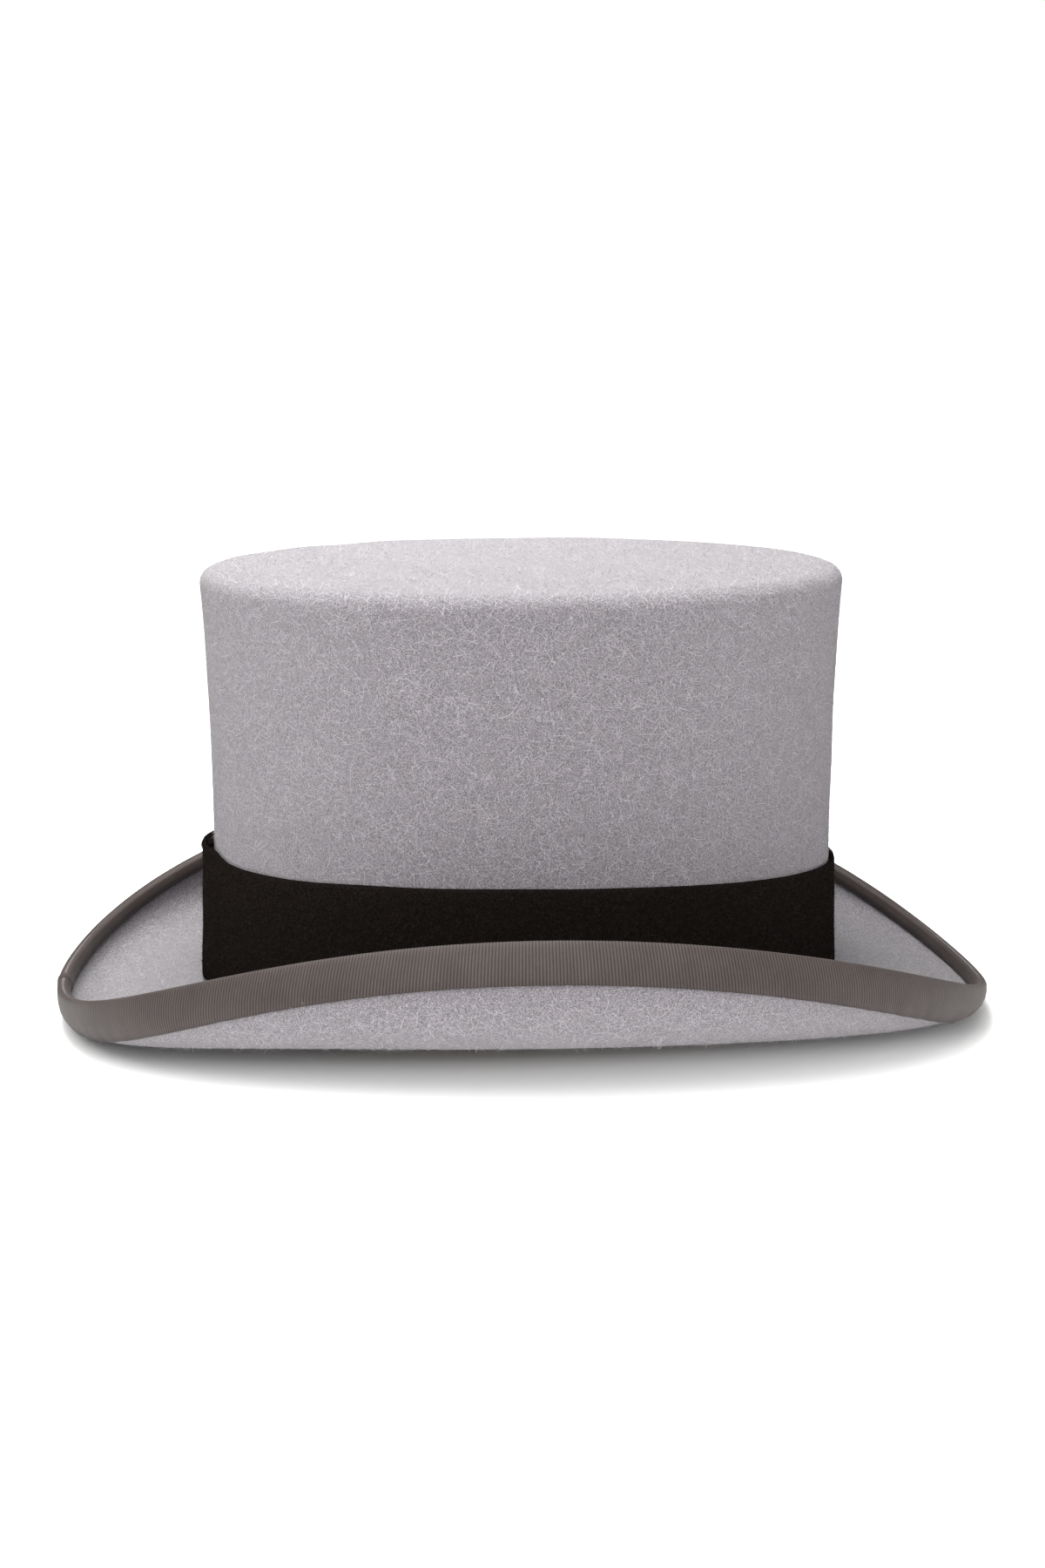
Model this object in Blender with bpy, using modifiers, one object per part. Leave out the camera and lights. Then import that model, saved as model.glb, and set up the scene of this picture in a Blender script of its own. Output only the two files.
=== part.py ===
"""Grey felt top hat with a lapped felt band, a ribbon-bound curled brim and a lined inside.

The hat stands on its brim: +X is the front, +Y the wearer's left, +Z up, and the origin is the
centre of the footprint on the surface it stands on. Stations go round the hat by the angle t,
from the front (t = 0) towards the wearer's left. Lengths are in millimetres until the last step.
"""

import math

import bpy
import numpy as np

MM = 0.001
STATIONS = 60
STEP = 2 * math.pi / STATIONS
BACK = math.pi
GAP = 0.3

# Felt body: an oval crown with a hollow-sided flare, and a brim drawn out of the same felt.
FELT = 2.5
CROWN_TOP = 149.8
CROWN_HALF_LENGTH = 103.5
CROWN_NARROWING = 18.6
FLARE_HEIGHT = 94.3
FLARE_LINEAR = -0.57
FLARE_SQUARE = 3.52
RIM_RADIUS = 5.0
TIP_RINGS = (0.4, 0.75)
WALL_RINGS = 4
BREAK_FILLET = 3.4

# Hat band: its top edge sits lower at the front and the back than at the sides. The strip widens
# towards its lap at the back, both upwards and downwards with the brim, which dips there.
BAND_TOP = 55.5
BAND_TOP_SLOPE = 1.97
BAND_TOP_ARCH = 2.86
BAND_WIDTH = 38.0
BAND_BACK_RISE = 3.3
BAND_RISE_POWER = 40
BREAK_BACK_DROP = 4.6
BREAK_DROP_POWER = 4
BAND_THICK = 1.8
BAND_LIFT = 1.6
BAND_LAP = (30.0, 6.0)
BAND_RAMP = 7.0

# Brim edge, at the middle of its felt: mean sizes, and how they swell and dip round the hat.
EDGE_HALF_LENGTH = 155.6
EDGE_SQUARENESS = 0.95
EDGE_HALF_WIDTH = 133.5
EDGE_WIDTH_WAVES = (0.02, 0.08, -0.03)
EDGE_HEIGHT = 31.1
EDGE_HEIGHT_WAVES = (-1.21, -20.7, -0.5, -0.7)

# Brim section: handle lengths and directions (degrees) at the crown and at the edge.
# The sides roll over past upright, and the front and the back stand about upright.
SIDE_SECTION = (28.0, -18.5, 33.0, 122.0)
FRONT_SECTION = (28.0, -9.5, 13.2, 94.0)
BACK_SECTION = (28.0, -2.5, 20.4, 92.5)

# Brim binding: a grosgrain ribbon folded over the edge.
RIBBON = 0.5
RIBBON_ROWS = (12.0, 9.5, 7.0, 4.6, 2.3, 0.0)
RIBBON_INNER_ROWS = 3
RIBBON_END_GAP = 0.4

# Sweatband and what carries it. Depths are measured inwards from the crown's outer face.
LEATHER = 1.1
LEATHER_DEPTH = 5.05
LEATHER_FOOT = 2.8
LEATHER_TOP = 50.0
LEATHER_END_GAP = 0.8
REED_RADIUS = 1.0
REED_DEPTH = 4.85
REED_HEIGHT = 0.8
REED_TAPE = 0.35
REED_TAPE_TOP = 9.0
REED_TAPE_OUTER_DEPTH = 3.375
REED_TAPE_INNER_DEPTH = 4.0
REED_TAPE_ARC = (180, 250, 320, 390, 460)
SEAM_TAPE = 0.5
SEAM_TAPE_DEPTH = 3.9
SEAM_TAPE_WIDTH = 14.0
SEAM_TAPE_SPAN = (10.5, 44.0)

# Small satin bow over the sweatband's seam.
BOW_RIBBON = 0.3
BOW_RIBBON_WIDTH = 4.6
BOW_HALF_SPAN = 11.0
BOW_DEPTH = 6.1
BOW_FULLNESS = 2.2
BOW_HEIGHT = 18.0
BOW_KNOT_WIDTH = 4.0
BOW_TAIL_LENGTH = 12.0
BOW_TAIL_ANGLE = 28.0
BOW_TAIL_STANDOFF = 0.5

# Lining: a satin side piece and an oval tip piece.
SATIN = 0.5
LINING_DEPTH = 3.05
LINING_FOOT = 34.0
LINING_TOP = 5.3
TIP_DROP = 4.65

# Labels.
TICKET_SIZE = (16.0, 10.0)
TICKET_THICK = 0.25
TICKET_DEPTH = 6.05
TICKET_FOOT = 22.0
TICKET_ANGLE = math.radians(62)
TAG_SIZE = (22.0, 30.0)
TAG_THICK = 0.6
TAG_DEPTH = 3.95
TAG_FOOT = 29.0
TAG_ANGLE = math.radians(222)


def clear_scene():
    for obj in list(bpy.data.objects):
        bpy.data.objects.remove(obj, do_unlink=True)


def make_collection(name):
    collection = bpy.data.collections.new(name)
    bpy.context.scene.collection.children.link(collection)
    return collection


def make_material(name, color, roughness):
    material = bpy.data.materials.new(name)
    material.use_nodes = True
    shader = material.node_tree.nodes["Principled BSDF"]
    shader.inputs["Base Color"].default_value = (*color, 1.0)
    shader.inputs["Roughness"].default_value = roughness
    shader.inputs["Metallic"].default_value = 0.0
    return material


# ---------------------------------------------------------------- the hat's guiding curves


def crown_half_length(z):
    """Half the crown's outside length at a height: narrowest low down, flaring to the top."""
    u = (z - BAND_TOP) / FLARE_HEIGHT
    return CROWN_HALF_LENGTH + FLARE_LINEAR * u + FLARE_SQUARE * u * u


def crown_point(t, z, depth=0.0):
    """A point on the crown wall, depth inwards from its outer face along the oval's normal."""
    a = crown_half_length(z)
    b = a - CROWN_NARROWING
    nx, ny = b * math.cos(t), a * math.sin(t)
    size = math.hypot(nx, ny)
    return np.array([a * math.cos(t) - depth * nx / size, b * math.sin(t) - depth * ny / size, z])


def backness(t, power):
    """1 at the centre back, falling to 0 at the front, the faster the higher the power."""
    return ((1 - math.cos(t)) / 2) ** power


def band_line(t):
    """Height of the band's top edge, but for its rise at the lap."""
    return BAND_TOP - BAND_TOP_SLOPE * math.cos(t) - BAND_TOP_ARCH * math.cos(2 * t)


def band_top(t):
    return band_line(t) + BAND_BACK_RISE * backness(t, BAND_RISE_POWER)


def break_height(t):
    """Height of the brim's upper face where it leaves the crown."""
    return band_line(t) - BAND_WIDTH - BREAK_BACK_DROP * backness(t, BREAK_DROP_POWER)


def edge_point(t):
    """The brim's edge: a squarish oval in plan that arches high at both sides."""
    x = EDGE_HALF_LENGTH * math.cos(t) - EDGE_SQUARENESS * math.cos(3 * t)
    waves = sum(k * math.cos((i + 1) * t) for i, k in enumerate(EDGE_WIDTH_WAVES))
    y = EDGE_HALF_WIDTH * math.sin(t) * (1 + waves)
    z = EDGE_HEIGHT + sum(k * math.cos((i + 1) * t) for i, k in enumerate(EDGE_HEIGHT_WAVES))
    return np.array([x, y, z])


def brim_handles(t):
    """The section's handles at a station, blended from the side, front and back sections."""
    side = math.sin(t) ** 2
    front = (1 + math.cos(t)) / 2
    end = front * np.array(FRONT_SECTION) + (1 - front) * np.array(BACK_SECTION)
    return side * np.array(SIDE_SECTION) + (1 - side) * end


class BrimSection:
    """The middle of the brim's felt at one station: a cubic curve in an upright plane."""

    SAMPLES = 120

    def __init__(self, t):
        self.root = crown_point(t, break_height(t))
        edge = edge_point(t)
        plan = edge[:2] - self.root[:2]
        reach = np.hypot(*plan)
        self.out = np.array([*(plan / reach), 0.0])
        l1, a1, l2, a2 = brim_handles(t)
        leave = np.array([math.cos(math.radians(a1)), math.sin(math.radians(a1))])
        arrive = np.array([math.cos(math.radians(a2)), math.sin(math.radians(a2))])
        p0 = np.array([-FELT / 2, self.root[2] - FELT / 2])
        p3 = np.array([reach, edge[2]])
        u = np.linspace(0, 1, self.SAMPLES)[:, None]
        p1, p2 = p0 + l1 * leave, p3 - l2 * arrive
        self.curve = (
            (1 - u) ** 3 * p0 + 3 * u * (1 - u) ** 2 * p1 + 3 * u * u * (1 - u) * p2 + u**3 * p3
        )
        steps = np.hypot(*np.diff(self.curve, axis=0).T)
        self.along = np.concatenate([[0.0], np.cumsum(steps)])
        self.length = self.along[-1]

    def place(self, r, z):
        return np.array([*(self.root[:2] + r * self.out[:2]), z])

    def at(self, from_edge):
        """The point at a distance from the edge, measured along the section."""
        s = self.length - from_edge
        return self.place(*(np.interp(s, self.along, self.curve[:, i]) for i in (0, 1)))


def unit(vector):
    return vector / np.linalg.norm(vector)


# ---------------------------------------------------------------- mesh helpers


def loft(name, sections, closed, material, thickness, pole=None):
    """An open surface through equal lists of points, one list a station, with Solidify.

    Every loft splits its quads the same way, so that nested shells stay parallel.
    """
    count, rows = len(sections), len(sections[0])
    points = [p * MM for section in sections for p in section]
    faces = []
    for i in range(count if closed else count - 1):
        j = (i + 1) % count
        for k in range(rows - 1):
            a, b = i * rows + k, j * rows + k
            faces += [(a, a + 1, b + 1), (a, b + 1, b)]
    if pole is not None:
        points.append(pole * MM)
        faces += [(len(points) - 1, i * rows, (i + 1) % count * rows) for i in range(count)]
    mesh = bpy.data.meshes.new(name)
    mesh.from_pydata([tuple(p) for p in points], [], faces)
    mesh.materials.append(material)
    mesh.shade_smooth()
    obj = bpy.data.objects.new(name, mesh)
    PARTS.objects.link(obj)
    shell = obj.modifiers.new("thickness", "SOLIDIFY")
    shell.thickness = thickness * MM
    shell.offset = 0.0
    shell.use_even_offset = True
    return obj


def stations(start=0.0, count=STATIONS, step=STEP):
    return [start + i * step for i in range(count)]


def open_stations(half_gap_angle):
    """Stations once round the hat from the centre back, leaving a gap between the ends."""
    inner = [BACK + i * STEP for i in range(1, STATIONS)]
    return [BACK + half_gap_angle, *inner, BACK + 2 * math.pi - half_gap_angle]


def arc_points(centre, radius, start, stop, count):
    """Points on an arc in a section plane, angles in degrees."""
    angles = np.radians(np.linspace(start, stop, count))
    return [(centre[0] + radius * math.cos(a), centre[1] + radius * math.sin(a)) for a in angles]


# ---------------------------------------------------------------- felt


def felt_profile(t):
    """The middle of the felt at one station, from near the tip's centre out to the brim's edge."""
    middle = FELT / 2
    flat = crown_point(t, CROWN_TOP - RIM_RADIUS, RIM_RADIUS)
    tip = [np.array([k * flat[0], k * flat[1], CROWN_TOP - middle]) for k in TIP_RINGS]
    rim_centre = (-RIM_RADIUS, CROWN_TOP - RIM_RADIUS)
    rim = [
        crown_point(t, CROWN_TOP - RIM_RADIUS, -out) * (1, 1, 0) + (0, 0, z)
        for out, z in arc_points(rim_centre, RIM_RADIUS - middle, 90, 0, 4)
    ]
    brim = BrimSection(t)
    corner_height = break_height(t) - middle
    foot = corner_height + BREAK_FILLET
    heights = np.linspace(CROWN_TOP - RIM_RADIUS, foot, WALL_RINGS + 1)[1:]
    wall = [crown_point(t, z, middle) for z in heights]
    corner = brim.place(-middle, corner_height)
    first = brim.length - BREAK_FILLET
    leave = brim.at(first)
    turn = [(1 - u) ** 2 * wall[-1] + 2 * u * (1 - u) * corner + u * u * leave for u in (0.35, 0.7)]
    reach = np.linspace(first, 2 * RIBBON_ROWS[0] - RIBBON_ROWS[1], 4)[1:]
    outer = [brim.at(s) for s in (first, *reach, *RIBBON_ROWS)]
    return [*tip, *rim, *wall, *turn, *outer]


def make_felt_body(material):
    pole = np.array([0.0, 0.0, CROWN_TOP - FELT / 2])
    sections = [felt_profile(t) for t in stations()]
    return loft("felt_body", sections, True, material, FELT, pole)


def ribbon_profile(t):
    """The binding's folded section: up the inner face, round the edge, further down outside."""
    here, before, after = (BrimSection(t + turn) for turn in (0, -STEP / 2, STEP / 2))
    rows = (2 * RIBBON_ROWS[0] - RIBBON_ROWS[1], *RIBBON_ROWS)
    middle = [here.at(s) for s in rows]
    along = [after.at(s) - before.at(s) for s in rows]
    squares = [
        unit(np.cross(middle[k + 1] - middle[k], along[k] + along[k + 1]))
        for k in range(len(rows) - 1)
    ]
    mitres = [(p + q) / (1 + p @ q) for p, q in zip(squares, [*squares[1:], squares[-1]])]
    onward = unit(np.cross(along[-1], squares[-1]))
    off = FELT / 2 + GAP + RIBBON / 2
    upper = [p + off * m for p, m in zip(middle[1:], mitres)][-RIBBON_INNER_ROWS:]
    lower = [p - off * m for p, m in zip(middle[1:], mitres)]
    fold = [
        middle[-1] + k * off * squares[-1] + (GAP + RIBBON / 2) * onward for k in (0.6, -0.6)
    ]
    return [*upper, *fold, *reversed(lower)]


def make_brim_binding(material):
    half_gap = RIBBON_END_GAP / 2 / EDGE_HALF_LENGTH
    sections = [ribbon_profile(t) for t in open_stations(half_gap)]
    return loft("brim_binding", sections, False, material, RIBBON)


def make_hat_band(material):
    """The felt strip goes once round from the centre back and laps over its own start.

    The lap reaches further on the wearer's left than on the right of the centre back.
    """
    speed = CROWN_HALF_LENGTH - CROWN_NARROWING
    left, right = (length / speed for length in BAND_LAP)
    ramp = BAND_RAMP / speed
    under = -(GAP + BAND_THICK / 2)
    over = under - BAND_THICK - GAP
    climb = BACK + right
    inner = [BACK - STEP * i for i in range(STATIONS + 1)]
    track = [(climb, under), *[(t, under) for t in inner if t > climb + ramp - 2 * math.pi]]
    track += [(climb + ramp - 2 * math.pi, under), (climb - 2 * math.pi, over)]
    track += [(BACK - 2 * math.pi - left * k, over) for k in (0.0, 0.33, 0.67, 1.0)]
    sections = []
    for t, depth in track:
        foot = break_height(t) + BAND_LIFT
        sections.append([crown_point(t, z, depth) for z in np.linspace(foot, band_top(t), 3)])
    return loft("hat_band", sections, False, material, BAND_THICK)


# ---------------------------------------------------------------- sweatband


def make_sweatband(material):
    half_gap = LEATHER_END_GAP / 2 / (CROWN_HALF_LENGTH - CROWN_NARROWING)
    sections = []
    for t in open_stations(half_gap):
        foot = break_height(t)
        heights = np.linspace(foot + LEATHER_FOOT, foot + LEATHER_TOP, 3)
        sections.append([crown_point(t, z, LEATHER_DEPTH) for z in heights])
    return loft("sweatband", sections, False, material, LEATHER)


def make_reed(material):
    """A plastic reed that keeps the sweatband's lower edge in shape, its ends meeting at the back."""
    half_gap = LEATHER_END_GAP / (CROWN_HALF_LENGTH - CROWN_NARROWING)
    curve = bpy.data.curves.new("sweatband_reed", "CURVE")
    curve.dimensions = "3D"
    curve.bevel_depth = REED_RADIUS * MM
    curve.bevel_resolution = 1
    curve.use_fill_caps = True
    turns = open_stations(half_gap)
    spline = curve.splines.new("POLY")
    spline.points.add(len(turns) - 1)
    for point, t in zip(spline.points, turns):
        point.co = (*(crown_point(t, break_height(t) + REED_HEIGHT, REED_DEPTH) * MM), 1.0)
    curve.materials.append(material)
    obj = bpy.data.objects.new("sweatband_reed", curve)
    PARTS.objects.link(obj)
    return obj


def reed_tape_profile(t):
    """A tape folded round the reed, with both its layers behind the leather."""
    foot = break_height(t)
    radius = REED_RADIUS + GAP + REED_TAPE / 2
    outer = crown_point(t, foot + REED_TAPE_TOP, REED_TAPE_OUTER_DEPTH)
    bead = [
        crown_point(
            t,
            foot + REED_HEIGHT + radius * math.sin(math.radians(a)),
            REED_DEPTH + radius * math.cos(math.radians(a)),
        )
        for a in REED_TAPE_ARC
    ]
    inner_foot = foot + REED_HEIGHT + 1.45 * radius
    inner = [
        crown_point(t, z, REED_TAPE_INNER_DEPTH) for z in (inner_foot, foot + REED_TAPE_TOP)
    ]
    return [outer, *bead, *inner]


def make_reed_tape(material):
    half_gap = LEATHER_END_GAP / 2 / (CROWN_HALF_LENGTH - CROWN_NARROWING)
    sections = [reed_tape_profile(t) for t in open_stations(half_gap)]
    return loft("reed_tape", sections, False, material, REED_TAPE)


def patch(name, material, angle, width, foot, height, depth, thickness):
    """A small flat strip bent to the oval, standing at a depth inside the crown."""
    a, b = CROWN_HALF_LENGTH, CROWN_HALF_LENGTH - CROWN_NARROWING
    speed = math.hypot(a * math.sin(angle), b * math.cos(angle))
    half = width / 2 / speed
    base = break_height(angle) + foot
    sections = [
        [crown_point(t, z, depth) for z in np.linspace(base, base + height, 3)]
        for t in np.linspace(angle - half, angle + half, 5)
    ]
    return loft(name, sections, False, material, thickness)


def make_seam_tape(material):
    foot, top = SEAM_TAPE_SPAN
    patch(
        "sweatband_seam_tape", material, BACK, SEAM_TAPE_WIDTH, foot, top - foot,
        SEAM_TAPE_DEPTH, SEAM_TAPE,
    )


# ---------------------------------------------------------------- bow


def bow_frame():
    """A point on the leather's seam, for a bow that faces forwards into the hat."""
    return crown_point(BACK, break_height(BACK) + BOW_HEIGHT, BOW_DEPTH)


def bent(base, x, y, z):
    """A point of the bow, so far forward, across and up, bent round with the seam behind it."""
    seam_radius = (CROWN_HALF_LENGTH - CROWN_NARROWING - BOW_DEPTH) ** 2 / CROWN_HALF_LENGTH
    return base + np.array([x + y * y / (2 * seam_radius), y, z])


def strip(name, path, across, width, material):
    """A ribbon of a width, following a path of points, with across as its width's direction."""
    side = np.array(across) / np.linalg.norm(across) * width / 2
    sections = [[p - side, p, p + side] for p in path]
    return loft(name, sections, False, material, BOW_RIBBON)


def make_bow_loops(material):
    """Both loops from one ribbon: straight behind the knot, rounded ends, tips meeting in front."""
    base = bow_frame()
    flat = BOW_HALF_SPAN - BOW_FULLNESS
    radius = BOW_FULLNESS / 2
    right = [(flat + radius * math.cos(a), radius + radius * math.sin(a))
             for a in np.radians(np.linspace(-90, 90, 5))]
    front = [(flat * k, 2 * radius * (0.55 + 0.45 * k)) for k in (0.5, 0.06)]
    half = [*right, *front]
    left = [(-y, x) for y, x in reversed(half)]
    path = [bent(base, x, y, 0.0) for y, x in [*left, *half]]
    return strip("sweatband_bow_loops", path, (0, 0, 1), BOW_RIBBON_WIDTH, material)


def make_bow_knot(material):
    """A short wrap over the middle of the loops, open towards the leather."""
    base = bow_frame()
    reach = BOW_RIBBON_WIDTH / 2 + GAP + BOW_RIBBON
    front = BOW_FULLNESS * 0.58 + GAP + BOW_RIBBON
    outline = [(0.1, -reach), (front - 0.5, -reach), (front, -reach + 0.8), (front, reach - 0.8),
               (front - 0.5, reach), (0.1, reach)]
    path = [bent(base, x, 0.0, z) for x, z in outline]
    return strip("sweatband_bow_knot", path, (0, 1, 0), BOW_KNOT_WIDTH, material)


def make_bow_tails(material):
    """One folded ribbon whose two ends hang down and apart from under the knot."""
    base = bow_frame()
    top = -BOW_RIBBON_WIDTH / 2 - 2 * GAP - 1.5 * BOW_RIBBON
    slope = math.radians(BOW_TAIL_ANGLE)
    half_width = BOW_RIBBON_WIDTH / 2
    sections = []
    for sign, lengths in ((-1, (1.0, 0.5, 0.0)), (1, (0.0, 0.5, 1.0))):
        for share in lengths:
            down = share * BOW_TAIL_LENGTH
            y = half_width * math.cos(slope) + down * math.sin(slope)
            z = top - half_width * math.sin(slope) - down * math.cos(slope)
            across = (math.cos(slope) * half_width, math.sin(slope) * half_width)
            ends = [(y + k * across[0], z + k * across[1]) for k in (-1, 0, 1)]
            sections.append([bent(base, BOW_TAIL_STANDOFF, sign * ey, ez) for ey, ez in ends])
    return loft("sweatband_bow_tails", sections, False, material, BOW_RIBBON)


# ---------------------------------------------------------------- lining and labels


def make_lining_wall(material):
    sections = []
    for t in stations():
        foot = break_height(t) + LINING_FOOT
        heights = np.linspace(foot, CROWN_TOP - LINING_TOP, 3)
        sections.append([crown_point(t, z, LINING_DEPTH) for z in heights])
    return loft("lining_wall", sections, True, material, SATIN)


def make_lining_tip(material):
    sections = []
    for t in stations():
        edge = crown_point(t, CROWN_TOP - TIP_DROP, LINING_DEPTH + SATIN / 2)
        sections.append([edge * (k, k, 1) for k in (0.5, 1.0)])
    pole = np.array([0.0, 0.0, CROWN_TOP - TIP_DROP])
    return loft("lining_tip", sections, True, material, SATIN, pole)


def make_labels(paper, satin):
    patch(
        "size_ticket", paper, TICKET_ANGLE, TICKET_SIZE[0], TICKET_FOOT, TICKET_SIZE[1],
        TICKET_DEPTH, TICKET_THICK,
    )
    patch(
        "care_label", satin, TAG_ANGLE, TAG_SIZE[0], TAG_FOOT, TAG_SIZE[1], TAG_DEPTH, TAG_THICK
    )


clear_scene()
PARTS = make_collection("top_hat")
make_felt_body(make_material("grey_felt", (0.27, 0.253, 0.272), 0.95))
make_brim_binding(make_material("taupe_grosgrain", (0.075, 0.06, 0.057), 0.7))
make_hat_band(make_material("black_felt", (0.014, 0.011, 0.01), 0.95))
make_sweatband(make_material("tan_leather", (0.32, 0.17, 0.085), 0.5))
make_reed(make_material("clear_plastic", (0.75, 0.75, 0.72), 0.35))
cotton = make_material("cotton_tape", (0.55, 0.5, 0.42), 0.85)
make_reed_tape(cotton)
make_seam_tape(cotton)
black_satin = make_material("bow_satin", (0.02, 0.019, 0.02), 0.4)
make_bow_loops(black_satin)
make_bow_knot(black_satin)
make_bow_tails(black_satin)
ivory_satin = make_material("ivory_satin", (0.76, 0.73, 0.67), 0.4)
make_lining_wall(ivory_satin)
make_lining_tip(ivory_satin)
card = make_material("ticket_card", (0.8, 0.78, 0.72), 0.8)
make_labels(card, make_material("label_satin", (0.82, 0.82, 0.8), 0.5))
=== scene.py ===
"""The looks of the grey felt top hat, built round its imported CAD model.

The frame is the CAD's: +X is the front, +Y the wearer's left, +Z up, and the hat stands on its
brim at z = 0. Shapes are worked out in millimetres and scaled to metres as each mesh is made.
Stations go round the hat by the angle t, from the front (t = 0) towards the wearer's left.
"""

import math

import bpy
import numpy as np
from mathutils import Matrix, Vector


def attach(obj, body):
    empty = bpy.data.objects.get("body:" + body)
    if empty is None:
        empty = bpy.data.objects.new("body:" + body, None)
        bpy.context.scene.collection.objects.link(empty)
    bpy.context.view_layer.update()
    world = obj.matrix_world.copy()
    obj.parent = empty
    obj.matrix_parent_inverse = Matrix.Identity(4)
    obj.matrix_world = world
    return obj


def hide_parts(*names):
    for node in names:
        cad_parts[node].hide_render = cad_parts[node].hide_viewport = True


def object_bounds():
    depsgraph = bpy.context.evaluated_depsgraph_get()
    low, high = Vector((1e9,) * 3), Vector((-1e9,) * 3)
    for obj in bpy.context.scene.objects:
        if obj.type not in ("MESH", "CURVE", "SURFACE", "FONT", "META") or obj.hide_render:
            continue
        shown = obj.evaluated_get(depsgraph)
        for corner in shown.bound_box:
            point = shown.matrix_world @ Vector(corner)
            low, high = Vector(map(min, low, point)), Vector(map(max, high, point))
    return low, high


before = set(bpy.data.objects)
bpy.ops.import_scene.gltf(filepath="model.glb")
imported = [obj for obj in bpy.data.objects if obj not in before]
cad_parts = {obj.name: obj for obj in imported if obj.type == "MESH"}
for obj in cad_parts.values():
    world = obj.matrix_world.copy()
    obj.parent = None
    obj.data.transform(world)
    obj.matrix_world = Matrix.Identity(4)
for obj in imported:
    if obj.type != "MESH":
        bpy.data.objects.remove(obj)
CAD_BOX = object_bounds()

MM = 0.001
TAU = 2 * math.pi
BACK = math.pi

# ---- sizes in mm, as the CAD has them

FELT = 2.5
CROWN_TOP = 149.8
CROWN_HALF_LENGTH = 103.5
CROWN_NARROWING = 18.6
FLARE_HEIGHT = 94.3
FLARE_LINEAR = -0.57
FLARE_SQUARE = 3.52
RIM_RADIUS = 5.0
BREAK_FILLET = 3.4

BAND_TOP = 55.5
BAND_TOP_SLOPE = 1.97
BAND_TOP_ARCH = 2.86
BAND_WIDTH = 38.0
BAND_BACK_RISE = 3.3
BAND_RISE_POWER = 40
BREAK_BACK_DROP = 4.6
BREAK_DROP_POWER = 4
BAND_THICK = 1.8
BAND_LIFT = 1.6
BAND_LAP = (30.0, 6.0)

EDGE_HALF_LENGTH = 155.6
EDGE_SQUARENESS = 0.95
EDGE_HALF_WIDTH = 133.5
EDGE_WIDTH_WAVES = (0.02, 0.08, -0.03)
EDGE_HEIGHT = 31.1
EDGE_HEIGHT_WAVES = (-1.21, -20.7, -0.5, -0.7)
SIDE_SECTION = (28.0, -18.5, 33.0, 122.0)
FRONT_SECTION = (28.0, -9.5, 13.2, 94.0)
BACK_SECTION = (28.0, -2.5, 20.4, 92.5)

RIBBON_OUTSIDE = 12.0
RIBBON_INSIDE = 4.6

# Only in this script: the ribbon's face, ribs and lapped end, the band's ramp on to its lap, the
# fibres on the felt, and the band's stitches.
RIBBON_FACE = 1.95
RIBBON_BEAD = 0.65
RIBBON_SWAY = 0.12
RIBBON_LAP = 5.0
RIBBON_LAP_RISE = 0.22
RIB_PITCH = 0.97
RIB_HEIGHT = 0.09
STATIONS_PER_RIB = 4
BAND_RAMP = 10.0
FELT_SWELL = 0.16
FELT_FIBRES = 24500  # in each of the four nap pieces
BAND_FIBRES = 24000
BAND_RIM_FUZZ = 4.0  # how much thicker the fibres stand along the band's top edge
TOP_STITCH_PITCH, END_STITCH_PITCH = 1.9, 2.3

# Length in mm of a radian: at the crown's centre back, and on average along the band, the
# leather's foot and the lining's top.
SEAM_SPEED = CROWN_HALF_LENGTH - CROWN_NARROWING
MEAN_SPEED, LEATHER_SPEED, LINING_SPEED = 90.0, 92.0, 95.0


# ---- the hat's guiding curves


def unit(v):
    return v / np.maximum(np.linalg.norm(v, axis=-1, keepdims=True), 1e-12)


def along_path(path):
    """How far along a path each of its points is."""
    steps = np.linalg.norm(np.diff(path, axis=0), axis=1)
    return np.concatenate([[0], np.cumsum(steps)])


def stations(count):
    """Angles evenly spaced once round the hat."""
    return np.linspace(0, TAU, count, endpoint=False)


def crown_half_length(z):
    u = (z - BAND_TOP) / FLARE_HEIGHT
    return CROWN_HALF_LENGTH + FLARE_LINEAR * u + FLARE_SQUARE * u * u


def crown_point(t, z, depth=0.0):
    """Points on the crown wall, depth inwards from its outer face along the oval's normal."""
    t, z, depth = np.broadcast_arrays(np.asarray(t, float), z, depth)
    a = crown_half_length(z)
    b = a - CROWN_NARROWING
    nx, ny = b * np.cos(t), a * np.sin(t)
    size = np.hypot(nx, ny)
    x = a * np.cos(t) - depth * nx / size
    y = b * np.sin(t) - depth * ny / size
    return np.stack([x, y, z], axis=-1)


def backness(t, power):
    """1 at the centre back, falling to 0 at the front, the faster the higher the power."""
    return ((1 - np.cos(t)) / 2) ** power


def band_line(t):
    """Height of the band's top edge, but for its rise at the lap."""
    return BAND_TOP - BAND_TOP_SLOPE * np.cos(t) - BAND_TOP_ARCH * np.cos(2 * t)


def band_top(t):
    return band_line(t) + BAND_BACK_RISE * backness(t, BAND_RISE_POWER)


def break_height(t):
    """Height of the brim's upper face where it leaves the crown."""
    return band_line(t) - BAND_WIDTH - BREAK_BACK_DROP * backness(t, BREAK_DROP_POWER)


def edge_point(t):
    x = EDGE_HALF_LENGTH * np.cos(t) - EDGE_SQUARENESS * np.cos(3 * t)
    waves = sum(k * np.cos((i + 1) * t) for i, k in enumerate(EDGE_WIDTH_WAVES))
    y = EDGE_HALF_WIDTH * np.sin(t) * (1 + waves)
    z = EDGE_HEIGHT + sum(k * np.cos((i + 1) * t) for i, k in enumerate(EDGE_HEIGHT_WAVES))
    return np.stack([x, y, z], axis=-1)


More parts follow.
